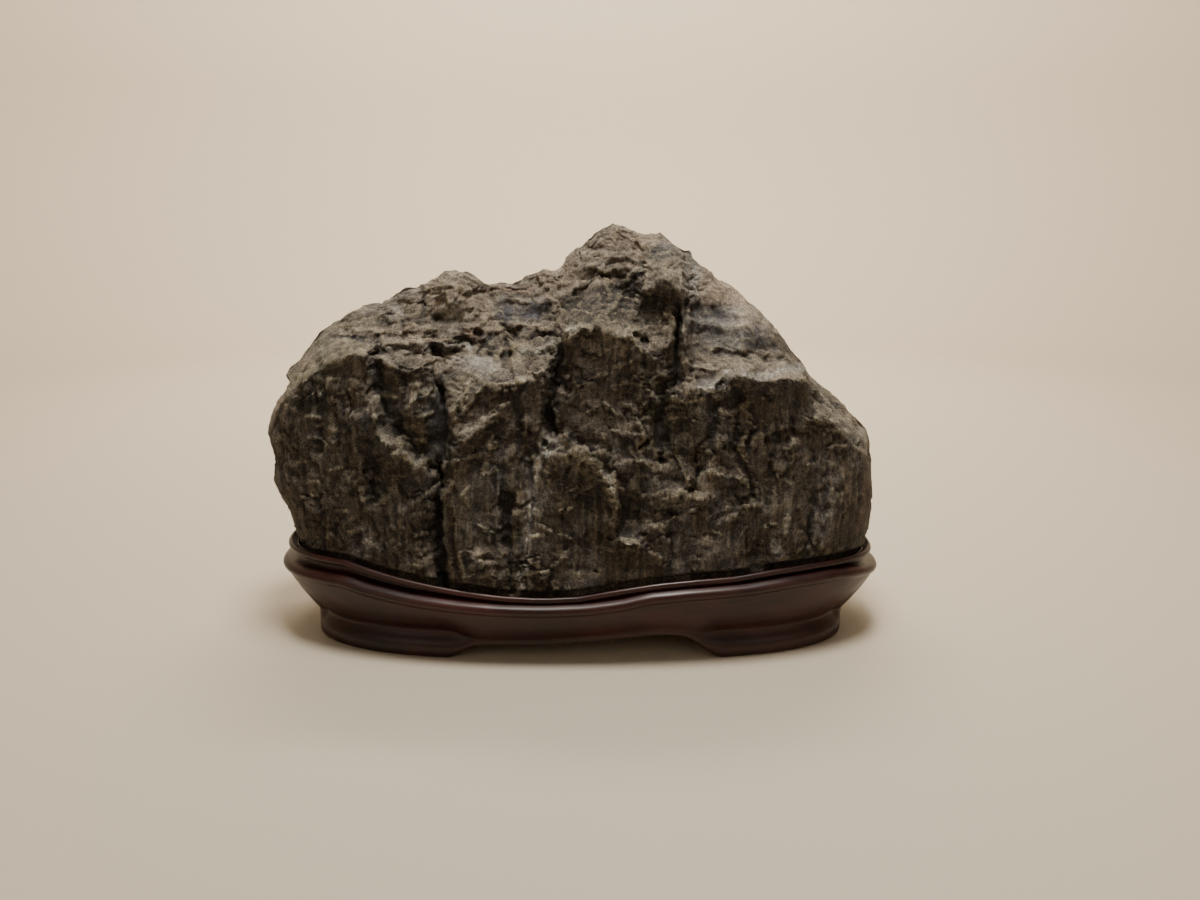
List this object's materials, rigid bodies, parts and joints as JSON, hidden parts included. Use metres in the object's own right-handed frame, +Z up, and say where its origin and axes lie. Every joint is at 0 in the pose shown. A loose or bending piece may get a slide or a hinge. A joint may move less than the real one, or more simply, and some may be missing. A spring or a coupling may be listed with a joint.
{
  "type": "scholars rock on a carved stand",
  "caption": "Natural mountain-shaped display rock with cliffs, gullies and peaks, seated in a fitted oval carved hardwood stand with a beaded rim and low scroll feet.",
  "frame": {"origin": "on the surface it stands on, under the middle of the object", "axes": "+X to the right along the rock as seen from its cliff side, +Y from the cliff side to the back, +Z up"},
  "size_m": [0.4482, 0.177, 0.2915],
  "materials": {
    "rock": "matte",
    "stand": "satin"
  },
  "bodies": {
    "root": {"rock": "rock", "stand": "stand"}
  },
  "joints": []
}
